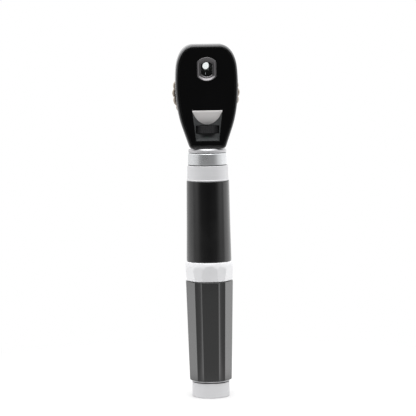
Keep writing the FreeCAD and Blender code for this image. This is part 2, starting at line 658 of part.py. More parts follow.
def make_mirror_bracket():
    """Black bracket behind the window: mirror cheeks, beam opening and sight tube."""
    back = FRONT_Y + FRONT_WALL
    cheek = [(back + 1.3, 212.5), (7.6, 212.5), (7.6, 216.0), (2.2, 223.0), (2.2, 229.4),
             (back + 1.3, 229.4)]
    left = prism_x(cheek, -5.6, -4.0)
    right = prism_x(cheek, 4.0, 5.6)
    baffle = box(-5.6, 5.6, -3.6, -2.6, 212.5, 230.6)
    beam_way = box(-3.4, 3.4, -4, -2, 213.2, 221.9)
    tube_y = cyl_y(3.3, -3.0, 8.4, 0, SIGHT_Z)
    bridge = box(-5.0, 5.0, -3.0, 2.2, 227.0, 229.4)
    seat = mirror_slab(4.6, 213.3, 222.1, 1.0 + SEAT_GAP, 2.2).common(box(-5, 5, -4, 8.5, 205, 230))
    foot_left = box(-9.5, -4.0, back + SEAT_GAP, back + 1.4, 213.5, 214.9)
    foot_right = box(4.0, 9.5, back + SEAT_GAP, back + 1.4, 213.5, 214.9)
    body = fuse(left, right, baffle, tube_y, bridge, seat, foot_left, foot_right)
    mirror_room = mirror_slab(3.55, 213.5, 222.2, -4.0, 1.0 + SEAT_GAP)
    mirror_room = mirror_room.common(box(-3.55, 3.55, -2.6, 9, 205, 223.1))
    sight_bore = cyl_y(2.55, -5, 10, 0, SIGHT_Z)
    save("mirror_bracket", cut(body, mirror_room, beam_way, sight_bore))


def make_optics_tube():
    body = tube(4.2, 3.4, 186.55, 200.5, 0, BEAM_Y)
    stop = tube(3.5, 2.4, 192.5, 193.3, 0, BEAM_Y)
    save("optics_tube", fuse(body, stop))


def dome_arc(radius, bulge, edge_z):
    """Spherical arc in the XZ plane from the rim at edge_z up, or down, to the axis."""
    ball_r = (radius ** 2 + bulge ** 2) / (2 * abs(bulge))
    side = math.copysign(1, bulge)
    middle_x = radius / 2
    middle_z = edge_z + bulge - side * (ball_r - math.sqrt(ball_r ** 2 - middle_x ** 2))
    return Part.Arc(V(radius, 0, edge_z), V(middle_x, 0, middle_z), V(0, 0, edge_z + bulge)).toShape()


def bulged_lens(radius, edge, bulge, z_mid, y):
    """A biconvex lens on a vertical axis."""
    half = edge / 2
    outline = Part.Wire([
        dome_arc(radius, bulge, half),
        Part.makeLine(V(0, 0, half + bulge), V(0, 0, -half - bulge)),
        dome_arc(radius, -bulge, -half),
        Part.makeLine(V(radius, 0, -half), V(radius, 0, half))])
    lens = Part.Face(outline).revolve(V(0, 0, 0), V(0, 0, 1), 360)
    lens.translate(V(0, y, z_mid))
    return lens


def make_beam_lenses():
    save("condenser_lens", bulged_lens(3.35, 1.2, 0.8, 190.5, BEAM_Y))
    save("focusing_lens", bulged_lens(3.35, 1.0, 0.5, 198.0, BEAM_Y))


def make_wheel_bracket():
    """Folded sheet bracket that carries the aperture wheel and the optics tube."""
    foot = box(-6.3, 6.3, -5.0, 8.65, 174.3, 175.1)
    low = box(-6.3, 6.3, -3.1, 8.65, 179.2, 180.0)
    high = box(-6.3, 6.3, -3.1, 8.65, 185.7, 186.5)
    back = box(-6.3, 6.3, 8.15, 8.65, 174.3, 186.5)
    axle_way = cyl(1.15 + SEAT_GAP, 178, 190, 0, WHEEL_Y)
    beam_way = cyl(2.7, 170, 190, 0, BEAM_Y)
    save("wheel_bracket", cut(fuse(foot, low, high, back), axle_way, beam_way))


def make_wheel_axle():
    save("wheel_axle", fuse(cyl(1.15, 178.8, 186.5, 0, WHEEL_Y), cyl(1.8, 178.4, 179.15, 0, WHEEL_Y)))


def wheel_place(radius, degrees):
    """Position (x, y) on a circle round the aperture wheel's axis."""
    a = math.radians(degrees)
    return radius * math.cos(a), WHEEL_Y + radius * math.sin(a)


def make_aperture_wheel():
    rim = tube(WHEEL_R, 7.3, WHEEL_BOTTOM, WHEEL_TOP, 0, WHEEL_Y)
    hub = cyl(2.5, WHEEL_BOTTOM, WHEEL_TOP, 0, WHEEL_Y)
    web = cyl(7.6, 182.0, 183.5, 0, WHEEL_Y)
    ribs = []
    for rib in range(WHEEL_RIBS):
        x, y = wheel_place(WHEEL_R + 0.08, 360 * rib / WHEEL_RIBS)
        ribs.append(cyl(0.38, 180, 186, x, y))
    holes = [cyl(1.15 + RUN_FIT, 180, 190, 0, WHEEL_Y)]
    for place, radius in enumerate([1.7, 0.8, 1.25, 1.7, 1.7]):
        x, y = wheel_place(APERTURE_RADIUS, 90 + 60 * place)
        holes.append(cyl(radius, 180, 190, x, y))
    x, y = wheel_place(APERTURE_RADIUS, 90 + 60 * 5)
    slit = box(x - 1.6, x + 1.6, y - 0.35, y + 0.35, 180, 190)
    save("aperture_wheel", cut(fuse(rim, hub, web), slit, *ribs, *holes))


def make_wheel_filters():
    """Green and blue filter discs that lie on the wheel's web over two of its holes."""
    discs = []
    for place in (3, 4):
        x, y = wheel_place(APERTURE_RADIUS, 90 + 60 * place)
        discs.append(cyl(2.0, 183.52, 184.3, x, y))
    save("wheel_filters", Part.makeCompound(discs))


def make_lamp_parts():
    base = turned([(0, 158.1), (1.2, 158.1), (1.2, 158.6), (3.0, 158.6), (3.0, 169.4),
                   (3.15, 169.4), (3.15, 170.2), (0, 170.2)], BEAM_Y)
    save("lamp_base", base)
    globe = Part.Wire([
        Part.makeLine(V(0, 0, 170.25), V(2.3, 0, 170.25)),
        Part.makeLine(V(2.3, 0, 170.25), V(2.3, 0, 175.2)),
        dome_arc(2.3, 2.25, 175.2),
        Part.makeLine(V(0, 0, 177.45), V(0, 0, 170.25))])
    bulb = Part.Face(globe).revolve(V(0, 0, 0), V(0, 0, 1), 360)
    bulb.translate(V(0, BEAM_Y, 0))
    save("lamp_bulb", bulb)


def make_lamp_holder():
    body = turned([(0, 151.8), (6.75, 151.8), (6.75, 170.0), (0, 170.0)])
    lamp_bore = cyl(3.0 + SEAT_GAP, 158.05, 169.35, 0, BEAM_Y)
    lamp_seat = cyl(3.15 + SEAT_GAP, 169.35, 171.0, 0, BEAM_Y)
    wire_way = cyl(1.2, 151, 159, 0, BEAM_Y)
    bar_way = box(-1.25, 1.25, -3.2, BEAM_Y + 1.2, 151, 153.3)
    save("lamp_holder", cut(body, lamp_bore, lamp_seat, wire_way, bar_way))


def make_lamp_contact():
    """Centre contact under the lamp holder, with a post up to the lamp's tip."""
    button = cyl(3.0, PIN_TIP + BODY_GAP, 151.75)
    bar = box(-1.1, 1.1, -1.5, BEAM_Y + 1.0, 151.6, 153.0)
    post = cyl(1.05, 152.5, 158.05, 0, BEAM_Y)
    save("lamp_contact", fuse(button, bar, post))


def make_spigot():
    body = turned([(6.8, PLUG_BOTTOM), (PLUG_R - 0.5, PLUG_BOTTOM), (PLUG_R, PLUG_BOTTOM + 0.5),
                   (PLUG_R, 167.05), (NECK_R, 167.05), (NECK_R, 174.2), (6.8, 174.2)])
    save("spigot", body)


def make_connector_ring():
    body = turned([(NECK_R + SEAT_GAP, RING_SEAT_BOTTOM), (RING_SEAT_R - 0.3, RING_SEAT_BOTTOM),
                   (RING_SEAT_R, RING_SEAT_BOTTOM + 0.3), (RING_SEAT_R, RING_SEAT_TOP - 0.3),
                   (RING_SEAT_R - 0.3, RING_SEAT_TOP), (11.6, RING_SEAT_TOP),
                   (11.3, HEAD_BOTTOM - SEAT_GAP), (NECK_R + SEAT_GAP, HEAD_BOTTOM - SEAT_GAP)])
    save("connector_ring", body)


def make_spigot_nut():
    blank = cyl(8.85, 171.8, 174.1)
    notches = [box(-1.0, 1.0, 8.2, 9.5, 173.0, 175.0), box(-1.0, 1.0, -9.5, -8.2, 173.0, 175.0)]
    save("spigot_nut", cut(blank, cyl(NECK_R + SEAT_GAP, 171, 175), *notches))


# ---- Head: lens dial ---------------------------------------------------------------
def polar(radius, degrees):
    a = math.radians(degrees)
    return radius * math.sin(a), DIAL_Z + radius * math.cos(a)


def scalloped_face(y):
    """Outline of the dial's grip rim: one round bump for each lens."""
    step = 360.0 / LENS_COUNT
    centre_r = DIAL_R - SCALLOP_R
    half = math.radians(step / 2)
    half_gap = centre_r * math.sin(half)
    valley_r = centre_r * math.cos(half) + math.sqrt(SCALLOP_R ** 2 - half_gap ** 2)
    arcs = []
    for bump in range(LENS_COUNT):
        start = polar(valley_r, step * (bump - 0.5))
        tip = polar(DIAL_R, step * bump)
        end = polar(valley_r, step * (bump + 0.5))
        points = [V(x, y, z) for x, z in (start, tip, end)]
        arcs.append(Part.Arc(*points).toShape())
    return Part.Face(Part.Wire(arcs))


def make_dial_rim():
    disc = scalloped_face(DIAL_FRONT).extrude(V(0, DIAL_REAR - DIAL_FRONT, 0))
    save("dial_rim", disc.cut(cyl_y(RIM_INNER_R + SEAT_GAP, 0, 20, 0, DIAL_Z)))


def lens_prism(half_w, half_h, y0, y1, degrees):
    """A long-round bar along Y on the dial's lens circle, turned to its place."""
    spread = half_h - half_w
    top_z = SIGHT_Z + spread
    low_z = SIGHT_Z - spread
    bar = fuse(cyl_y(half_w, y0, y1, 0, top_z), cyl_y(half_w, y0, y1, 0, low_z),
               box(-half_w, half_w, y0, y1, low_z, top_z))
    bar.rotate(V(0, 0, DIAL_Z), V(0, 1, 0), degrees)
    return bar


def make_lens_dial():
    disc = cyl_y(RIM_INNER_R, DIAL_FRONT, DIAL_REAR, 0, DIAL_Z)
    hub_relief = cyl_y(5.5, DIAL_FRONT - 1, DIAL_FRONT + 0.5, 0, DIAL_Z)
    number_seat = cyl_y(15.6, DIAL_REAR - 0.5, DIAL_REAR + 1, 0, DIAL_Z).cut(cyl_y(9.6, 0, 20, 0, DIAL_Z))
    bore = cyl_y(AXLE_R + RUN_FIT, 0, 20, 0, DIAL_Z)
    step = 360.0 / LENS_COUNT
    holes = [lens_prism(LENS_HALF_W, LENS_HALF_H, 5, 15, step * n) for n in range(LENS_COUNT)]
    save("lens_dial", cut(disc, hub_relief, number_seat, bore, *holes))


def make_dial_lenses():
    """One lens in every hole but the first, which is the open zero position."""
    step = 360.0 / LENS_COUNT
    middle = (DIAL_FRONT + DIAL_REAR) / 2
    half_w = LENS_HALF_W - SEAT_GAP
    half_h = LENS_HALF_H - SEAT_GAP
    lenses = [lens_prism(half_w, half_h, middle - 0.6, middle + 0.6, step * n) for n in range(1, LENS_COUNT)]
    save("dial_lenses", Part.makeCompound(lenses))


def make_number_ring():
    ring = cyl_y(15.6 - SEAT_GAP, DIAL_REAR - 0.45, DIAL_REAR, 0, DIAL_Z)
    save("number_ring", ring.cut(cyl_y(9.6 + SEAT_GAP, 0, 20, 0, DIAL_Z)))


def make_dial_axle():
    flange = cyl_y(3.4, DIAL_FRONT - BODY_GAP - 0.8, DIAL_FRONT - BODY_GAP, 0, DIAL_Z)
    shaft = cyl_y(AXLE_R, DIAL_FRONT - BODY_GAP - 0.1, REAR_Y - 0.8, 0, DIAL_Z)
    head = cyl_y(3.5, REAR_Y - 0.75, REAR_Y + 0.1, 0, DIAL_Z)
    neck = cyl_y(AXLE_R, REAR_Y - 0.9, REAR_Y - 0.7, 0, DIAL_Z)
    slot = box(-2.6, 2.6, REAR_Y - 0.45, REAR_Y + 1, DIAL_Z - 0.35, DIAL_Z + 0.35)
    save("dial_axle", fuse(flange, shaft, neck, head).cut(slot))


def make_dial_click_spring():
    """Leaf spring that stands on the wheel bracket and presses its bump towards the dial."""
    leaf = box(7.2, 10.2, 7.3, 7.7, 187.0, 199.0)
    foot = box(5.0, 10.2, 6.0, 7.7, 186.55, 187.1)
    bump = Part.makeCylinder(0.6, 3.0, V(7.2, 7.8, 197.6), V(1, 0, 0))
    save("dial_click_spring", fuse(leaf, foot, bump))


def make_readout_window():
    pane = box(-3.5, 3.5, REAR_Y - 1.5, REAR_Y - 0.3, 191.1, 196.3)
    save("readout_window", pane)


def make_eyepiece():
    ring = turned_y([(2.9, 12.9), (4.2, 12.9), (4.2, REAR_Y + SEAT_GAP), (5.0, REAR_Y + SEAT_GAP),
                     (5.0, REAR_Y + 0.9), (3.4, REAR_Y + 0.9), (3.1, 14.3), (3.4, 14.2), (3.4, 13.4),
                     (2.9, 13.4)], SIGHT_Z)
    save("eyepiece_ring", ring)
    save("eyepiece_glass", cyl_y(3.3, 13.42, 14.15, 0, SIGHT_Z))


def make_brow_rest():
    """Soft rubber cup round the eyepiece that rests against the examiner's brow."""
    profile = [(5.1, SEAT_GAP), (9.6, SEAT_GAP), (10.0, 0.6), (9.7, 2.6), (8.6, 4.3), (7.4, 4.8),
               (6.4, 4.2), (5.6, 2.4), (5.1, 1.2)]
    save("brow_rest", turned_y([(r, REAR_Y + depth) for r, depth in profile], SIGHT_Z))


make_end_cap()
make_cap_seal()
make_battery_spring()
make_battery_tube()
make_grip_sleeve()
make_battery_cell()
make_battery_terminal()
make_contact_disc()
make_positive_contact()
make_ring_journal()
make_control_ring()
make_drive_key()
make_rheostat_rotor()
make_rotor_wiper()
make_rheostat_board()
make_carbon_track()
make_board_carrier()
make_driver_board()
make_upper_tube()
make_neck_collar()
make_collar_washer()
make_lock_collar()
make_socket_liner()
make_socket_insulator()
make_contact_pin()
make_contact_spring()
make_conductor_rod()
make_shells()
make_front_plate()
make_head_screws()
make_scoop_trim()
make_window_bezel()
make_window_glass()
make_mirror()
make_mirror_bracket()
make_optics_tube()
make_beam_lenses()
make_wheel_bracket()
make_wheel_axle()
make_aperture_wheel()
make_wheel_filters()
make_lamp_parts()
make_lamp_holder()
make_lamp_contact()
make_spigot()
make_connector_ring()
make_spigot_nut()
make_dial_rim()
make_lens_dial()
make_dial_lenses()
make_number_ring()
make_dial_axle()
make_dial_click_spring()
make_readout_window()
make_eyepiece()
make_brow_rest()
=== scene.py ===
import json
import math

import bmesh
import bpy
from mathutils import Matrix, Vector


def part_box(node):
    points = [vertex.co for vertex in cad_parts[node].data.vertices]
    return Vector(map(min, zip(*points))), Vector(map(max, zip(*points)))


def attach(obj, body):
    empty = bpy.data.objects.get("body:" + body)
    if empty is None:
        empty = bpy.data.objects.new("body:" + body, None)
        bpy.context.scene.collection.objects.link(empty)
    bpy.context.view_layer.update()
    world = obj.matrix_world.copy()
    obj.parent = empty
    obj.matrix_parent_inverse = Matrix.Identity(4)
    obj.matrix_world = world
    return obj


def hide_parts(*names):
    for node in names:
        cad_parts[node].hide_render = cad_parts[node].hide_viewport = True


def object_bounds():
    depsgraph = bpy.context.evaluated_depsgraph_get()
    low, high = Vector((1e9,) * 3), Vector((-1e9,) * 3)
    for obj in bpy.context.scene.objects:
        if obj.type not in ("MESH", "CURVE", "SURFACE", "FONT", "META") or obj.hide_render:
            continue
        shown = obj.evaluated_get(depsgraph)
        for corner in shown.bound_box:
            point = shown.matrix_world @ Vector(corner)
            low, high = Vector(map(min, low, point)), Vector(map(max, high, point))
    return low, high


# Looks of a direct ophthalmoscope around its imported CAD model. Metres, +Z up, patient side -Y.
# The outlines of the detailed pieces are in millimetres.

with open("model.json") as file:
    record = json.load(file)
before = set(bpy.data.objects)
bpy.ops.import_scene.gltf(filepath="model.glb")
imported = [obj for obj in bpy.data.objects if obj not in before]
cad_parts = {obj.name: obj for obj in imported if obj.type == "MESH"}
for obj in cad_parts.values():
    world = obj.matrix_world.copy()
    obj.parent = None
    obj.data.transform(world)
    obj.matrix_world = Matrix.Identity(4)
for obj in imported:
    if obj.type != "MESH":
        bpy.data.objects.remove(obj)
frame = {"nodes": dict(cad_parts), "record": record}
cad_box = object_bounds()
MM = 0.001
HEIGHT = cad_box[1].z

# ---- Camera --------------------------------------------------------------------------
AIM_Z = 0.504 * HEIGHT        # height that the camera looks at
CAMERA_DISTANCE = 1.5
CAMERA_ELEVATION = math.radians(5.6)
CAMERA_AZIMUTH = math.radians(-2.0)
CAMERA_LEAN = math.radians(-0.885)
SENSOR_WIDTH = 36.0           # millimetres, as the focal length is
FOCAL_LENGTH = 190.9
SHIFT_X = -0.001
SHIFT_Y = 0.0281
CLIP_START = 0.05
CLIP_END = 30.0

# ---- Floor and light -----------------------------------------------------------------
FLOOR_FRONT = -0.62           # the floor ends here, so what faces the camera mirrors a dark studio
FLOOR_BACK = 6.0
FLOOR_HALF = 4.0
FLOOR_TONE = 0.50             # grey paint under the object, where the softbox lights it
FLOOR_ROUGHNESS = 0.9
FLOOR_SHINE = 0.1
GLOW_START = 0.04             # distances from the object over which the camera sees the paint turn white
GLOW_END = 0.26
FRONT_GLOW = 0.64             # light that the floor gives the object from the front
FAR_GLOW = 1.02               # from the sides and the back, far away
NEAR_GLOW = 1.9               # and from a strip beside and behind the object
BESIDE_START = -0.10          # depths between which the front's light gives way to the others
BESIDE_END = 0.02
NEAR_START = 0.05             # distances at which the near strip starts and ends, and how far it fades
NEAR_END = 0.62
NEAR_FADE = 0.25
RIGHT_EXTRA = 0.5             # more light on the right, growing between these distances
RIGHT_START = 0.3
RIGHT_END = 0.9
# Strength of the surroundings by degrees round from the front, positive to the right.
SURROUND = [(-180, 1.05), (-120, 1.05), (-92, 1.08), (-72, 0.98), (-60, 0.70), (-50, 0.30), (-38, 0.14),
            (0, 0.08), (38, 0.14), (50, 0.33), (60, 0.75), (72, 1.10), (92, 1.25), (120, 1.15), (180, 1.05)]
SURROUND_MAX = 2.0
SKY = 2.6                     # light from above, from SKY_START upwards (sine of the height angle)
SKY_START = 0.30
SKY_END = 0.60
SOFTBOX_PLACE = (0, -1.0, 1.2)
SOFTBOX_WIDTH = 1.1
SOFTBOX_HEIGHT = 1.0
SOFTBOX_POWER = 10.0
SOFTBOX_AIM = (0, 0, 0.15)


def make_camera():
    camera = bpy.data.objects.new("camera", bpy.data.cameras.new("camera"))
    bpy.context.scene.collection.objects.link(camera)
    camera.data.sensor_width = SENSOR_WIDTH
    camera.data.lens = FOCAL_LENGTH
    camera.data.shift_x = SHIFT_X
    camera.data.shift_y = SHIFT_Y
    camera.data.clip_start = CLIP_START
    camera.data.clip_end = CLIP_END
    back = Vector((math.sin(CAMERA_AZIMUTH) * math.cos(CAMERA_ELEVATION),
                   -math.cos(CAMERA_AZIMUTH) * math.cos(CAMERA_ELEVATION),
                   math.sin(CAMERA_ELEVATION)))
    camera.location = Vector((0, 0, AIM_Z)) + back * CAMERA_DISTANCE
    camera.rotation_mode = "QUATERNION"
    lean = Matrix.Rotation(CAMERA_LEAN, 3, "Z").to_quaternion()
    camera.rotation_quaternion = (-back).to_track_quat("-Z", "Y") @ lean
    bpy.context.scene.camera = camera


def new_material(name):
    material = bpy.data.materials.new(name)
    material.use_nodes = True
    nodes = material.node_tree.nodes
    return material, nodes, material.node_tree.links, nodes["Principled BSDF"]


def link_mesh(name, mesh):
    obj = bpy.data.objects.new(name, mesh)
    bpy.context.scene.collection.objects.link(obj)
    return obj


def give(links, socket, value):
    """Sets a socket to a plain value, or links another node's output to it."""
    if isinstance(value, bpy.types.NodeSocket):
        links.new(value, socket)
    else:
        socket.default_value = value


def math_node(nodes, links, operation, first, second=None):
    node = nodes.new("ShaderNodeMath")
    node.operation = operation
    give(links, node.inputs[0], first)
    if second is not None:
        give(links, node.inputs[1], second)
    return node.outputs[0]


def ranged(nodes, links, source, low, high, to_low=0.0, to_high=1.0, easing="SMOOTHSTEP"):
    ramp = nodes.new("ShaderNodeMapRange")
    ramp.interpolation_type = easing
    ramp.inputs["From Min"].default_value = low
    ramp.inputs["From Max"].default_value = high
    ramp.inputs["To Min"].default_value = to_low
    ramp.inputs["To Max"].default_value = to_high
    links.new(source, ramp.inputs["Value"])
    return ramp.outputs["Result"]


def mixed(nodes, links, factor, first, second):
    """A number between two, each a plain number or another node's output."""
    mix = nodes.new("ShaderNodeMix")
    mix.data_type = "FLOAT"
    links.new(factor, mix.inputs["Factor"])
    give(links, mix.inputs["A"], first)
    give(links, mix.inputs["B"], second)
    return mix.outputs["Result"]


def split_coords(nodes, links, kind):
    """X, Y and Z of a texture coordinate."""
    coords = nodes.new("ShaderNodeTexCoord")
    split = nodes.new("ShaderNodeSeparateXYZ")
    links.new(coords.outputs[kind], split.inputs[0])
    return split.outputs


def floor_light(nodes, links, distance):
    """Light that the floor gives the object: least from the front, most from a strip beside and behind."""
    place = split_coords(nodes, links, "Object")
    outside = ranged(nodes, links, distance, NEAR_END, NEAR_END + NEAR_FADE, 1.0, 0.0)
    inside = ranged(nodes, links, distance, NEAR_START, 2 * NEAR_START)
    strip = math_node(nodes, links, "MULTIPLY", outside, inside)
    side = ranged(nodes, links, strip, 0.0, 1.0, FAR_GLOW, NEAR_GLOW)
    right = ranged(nodes, links, place["X"], RIGHT_START, RIGHT_END)
    right = math_node(nodes, links, "MULTIPLY", right, RIGHT_EXTRA)
    beside = ranged(nodes, links, place["Y"], BESIDE_START, BESIDE_END)
    return mixed(nodes, links, beside, FRONT_GLOW, math_node(nodes, links, "ADD", side, right))


def floor_paint():
    """To the camera, grey paint that turns white further out; to every other ray, floor_light's glow."""
    material, nodes, links, shader = new_material("pale_floor")
    shader.inputs["Base Color"].default_value = (FLOOR_TONE, FLOOR_TONE, FLOOR_TONE, 1)
    shader.inputs["Roughness"].default_value = FLOOR_ROUGHNESS
    shader.inputs["Specular IOR Level"].default_value = FLOOR_SHINE
    coords = nodes.new("ShaderNodeTexCoord")
    length = nodes.new("ShaderNodeVectorMath")
    length.operation = "LENGTH"
    links.new(coords.outputs["Object"], length.inputs[0])
    distance = length.outputs["Value"]
    outer = ranged(nodes, links, distance, GLOW_START, GLOW_END)
    given = floor_light(nodes, links, distance)
    seen = nodes.new("ShaderNodeLightPath").outputs["Is Camera Ray"]
    glow = nodes.new("ShaderNodeEmission")
    links.new(mixed(nodes, links, seen, given, 1.0), glow.inputs["Strength"])
    mix = nodes.new("ShaderNodeMixShader")
    links.new(mixed(nodes, links, seen, 1.0, outer), mix.inputs["Fac"])
    links.new(shader.outputs[0], mix.inputs[1])
    links.new(glow.outputs[0], mix.inputs[2])
    links.new(mix.outputs[0], nodes["Material Output"].inputs["Surface"])
    return material


def make_floor():
    mesh = bpy.data.meshes.new("floor")
    corners = [(-FLOOR_HALF, FLOOR_FRONT, 0), (FLOOR_HALF, FLOOR_FRONT, 0), (FLOOR_HALF, FLOOR_BACK, 0),
               (-FLOOR_HALF, FLOOR_BACK, 0)]
    mesh.from_pydata(corners, [], [(0, 1, 2, 3)])
    mesh.materials.append(floor_paint())
    link_mesh("floor", mesh)


def make_softbox():
    light = bpy.data.lights.new("front_softbox", "AREA")
    light.shape = "RECTANGLE"
    light.size = SOFTBOX_WIDTH
    light.size_y = SOFTBOX_HEIGHT
    light.energy = SOFTBOX_POWER
    lamp = bpy.data.objects.new("front_softbox", light)
    bpy.context.scene.collection.objects.link(lamp)
    lamp.location = SOFTBOX_PLACE
    aim = Vector(SOFTBOX_AIM) - Vector(SOFTBOX_PLACE)
    lamp.rotation_mode = "QUATERNION"
    lamp.rotation_quaternion = aim.to_track_quat("-Z", "Y")


def make_world():
    """White to the camera; it lights the object from the sides, from behind and from above."""
    world = bpy.data.worlds.new("studio")
    bpy.context.scene.world = world
    world.use_nodes = True
    nodes = world.node_tree.nodes
    links = world.node_tree.links
    nodes.clear()
    output = nodes.new("ShaderNodeOutputWorld")
    background = nodes.new("ShaderNodeBackground")
    direction = split_coords(nodes, links, "Generated")
    forward = math_node(nodes, links, "MULTIPLY", direction["Y"], -1.0)
    turn = math_node(nodes, links, "ARCTAN2", direction["X"], forward)
    place = ranged(nodes, links, turn, -math.pi, math.pi, easing="LINEAR")
    ramp = nodes.new("ShaderNodeValToRGB")
    while len(ramp.color_ramp.elements) < len(SURROUND):
        ramp.color_ramp.elements.new(0.5)
    for stop, (degrees, strength) in zip(ramp.color_ramp.elements, SURROUND):
        stop.position = (degrees + 180) / 360
        tone = strength / SURROUND_MAX
        stop.color = (tone, tone, tone, 1)
    links.new(place, ramp.inputs["Fac"])
    around = math_node(nodes, links, "MULTIPLY", ramp.outputs["Color"], SURROUND_MAX)
    above = ranged(nodes, links, direction["Z"], SKY_START, SKY_END)
    around = mixed(nodes, links, above, around, SKY)
    seen = nodes.new("ShaderNodeLightPath").outputs["Is Camera Ray"]
    links.new(mixed(nodes, links, seen, around, 1.0), background.inputs["Strength"])
    background.inputs["Color"].default_value = (1, 1, 1, 1)
    links.new(background.outputs[0], output.inputs["Surface"])


bpy.context.scene.view_settings.view_transform = "Standard"
make_camera()
make_floor()
make_world()
make_softbox()

# ---- Materials -----------------------------------------------------------------------
BROKEN_EDGE = 0.12 * MM       # radius at which the light sees sharp edges as rounded
EDGE_SAMPLES = 4
PATCH_SCALE = 60.0            # scales of the slow changes of tone and shine, per metre
METAL_PATCH_SCALE = 90.0
SMUDGE_SCALE = 180.0
NOISE_LOW = 0.3               # the part of the noise's range that a finish spreads over its own
NOISE_HIGH = 0.7
FINE_DETAIL = 3.0
MARKS_DETAIL = 2.0
TURNED_SCALE = 12.0           # turning marks: scale round the axis and along it
TURNED_ALONG = 9000.0
METAL_SCALE = 2500.0
GLASS_IOR = 1.5
# Finger scoop: a rougher finish, and a lighter grey tone that is partly painted sheen, standing in for the
# light its ramps reflect.
SCOOP_TONE_AND_SHEEN = (0.036, 0.038, 0.039)
SCOOP_ROUGHNESS = 0.42
SCOOP_MARGIN = 0.4 * MM       # the scoop's finish reaches this far beside its trim,
SCOOP_FRONT = 0.3 * MM        # starts this far behind the casing's face,
SCOOP_BACK = -3.0 * MM        # ends at this depth,
SCOOP_FOOT = 5.6 * MM         # and reaches this far below the wheel
SIDE_TONE = (0.034, 0.034, 0.035)
SIDE_ROUGHNESS = 0.26
SIDE_START = 0.15 * MM        # depths behind the front face between which its finish turns into the sides'
SIDE_END = 0.45 * MM
REAR_START = 0.8 * MM         # depths before the rear face between which the sides' turns into its own
REAR_END = 0.5 * MM
# Painted highlight: the casing's sides are painted a lighter grey towards the top, where the light from above
# falls.
TOP_HIGHLIGHT_TONE = (0.096, 0.096, 0.098)
TOP_HIGHLIGHT_START = 14.0 * MM         # depths below the top between which a highlight is painted into the sides, lighter towards the top
TOP_HIGHLIGHT_END = 3.0 * MM


def grain(nodes, links, scale, stretch=(1, 1, 1), detail=FINE_DETAIL):
    """Noise in the object's own coordinates, in the rest frame."""
    coords = nodes.new("ShaderNodeTexCoord")
    mapping = nodes.new("ShaderNodeMapping")
    mapping.inputs["Scale"].default_value = stretch
    noise = nodes.new("ShaderNodeTexNoise")
    noise.inputs["Scale"].default_value = scale
    noise.inputs["Detail"].default_value = detail
    links.new(coords.outputs["Object"], mapping.inputs["Vector"])
    links.new(mapping.outputs["Vector"], noise.inputs["Vector"])
    return noise.outputs["Fac"]


def spread(nodes, links, source, low, high):
    """Maps the middle of the noise's range to another range."""
    return ranged(nodes, links, source, NOISE_LOW, NOISE_HIGH, low, high)


def add_bump(nodes, links, shader, height, depth):
    """Fine relief, on edges that the light sees as slightly broken."""
    edge = nodes.new("ShaderNodeBevel")
    edge.samples = EDGE_SAMPLES
    edge.inputs["Radius"].default_value = BROKEN_EDGE
    bump = nodes.new("ShaderNodeBump")
    bump.inputs["Strength"].default_value = 1.0
    bump.inputs["Distance"].default_value = depth
    links.new(edge.outputs["Normal"], bump.inputs["Normal"])
    links.new(height, bump.inputs["Height"])
    links.new(bump.outputs["Normal"], shader.inputs["Normal"])


def blended(nodes, links, factor, dark, light):
    """A colour between two, each a plain colour or another node's output."""
    mix = nodes.new("ShaderNodeMix")
    mix.data_type = "RGBA"
    for socket, colour in (("A", dark), ("B", light)):
        if isinstance(colour, bpy.types.NodeSocket):
            links.new(colour, mix.inputs[socket])
        else:
            mix.inputs[socket].default_value = (*colour, 1)
    links.new(factor, mix.inputs["Factor"])
    return mix.outputs["Result"]


def moulded(name, dark, light, rough, texture_scale, depth, level=0.5):
    """Moulded plastic, rubber or anodised skin: fine even texture and slight changes of tone."""
    material, nodes, links, shader = new_material(name)
    patches = grain(nodes, links, PATCH_SCALE)
    links.new(blended(nodes, links, patches, dark, light), shader.inputs["Base Color"])
    links.new(spread(nodes, links, patches, *rough), shader.inputs["Roughness"])
    add_bump(nodes, links, shader, grain(nodes, links, texture_scale), depth)
    shader.inputs["Specular IOR Level"].default_value = level
    return material


def turned(name, dark, light, rough, depth, across=TURNED_SCALE, along=TURNED_ALONG, metallic=1.0):
    """Metal with fine turning marks round the vertical axis."""
    material, nodes, links, shader = new_material(name)
    marks = grain(nodes, links, 1.0, (across, across, along), MARKS_DETAIL)
    patches = grain(nodes, links, METAL_PATCH_SCALE)
    links.new(blended(nodes, links, marks, dark, light), shader.inputs["Base Color"])
    links.new(spread(nodes, links, patches, *rough), shader.inputs["Roughness"])
    add_bump(nodes, links, shader, marks, depth)
    shader.inputs["Metallic"].default_value = metallic
    return material


def metal(name, dark, light, rough, depth, metallic=1.0):
    """Plated, blasted or plainly machined metal with no direction to its marks."""
    material = moulded(name, dark, light, rough, METAL_SCALE, depth)
    material.node_tree.nodes["Principled BSDF"].inputs["Metallic"].default_value = metallic
    return material


def clear(name, colour, rough):
    """Glass with faint smudges."""
    material, nodes, links, shader = new_material(name)
    smudges = grain(nodes, links, SMUDGE_SCALE)
    shader.inputs["Base Color"].default_value = (*colour, 1)
    links.new(spread(nodes, links, smudges, *rough), shader.inputs["Roughness"])
    shader.inputs["Transmission Weight"].default_value = 1.0
    shader.inputs["IOR"].default_value = GLASS_IOR
    return material


def scoop_area(nodes, links, place):
    """1 inside the finger scoop and 0 elsewhere."""
    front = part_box("front_shell")[0].y
    trim_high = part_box("scoop_trim")[1]
    wheel_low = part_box("aperture_wheel")[0]
    across = math_node(nodes, links, "ABSOLUTE", place["X"])
    limits = [("LESS_THAN", across, trim_high.x + SCOOP_MARGIN),
              ("GREATER_THAN", place["Y"], front + SCOOP_FRONT), ("LESS_THAN", place["Y"], SCOOP_BACK),
              ("GREATER_THAN", place["Z"], wheel_low.z - SCOOP_FOOT), ("LESS_THAN", place["Z"], trim_high.z)]
    inside = 1.0
    for operation, value, limit in limits:
        passed = math_node(nodes, links, operation, value, limit)
        inside = math_node(nodes, links, "MULTIPLY", passed, inside)
    return inside


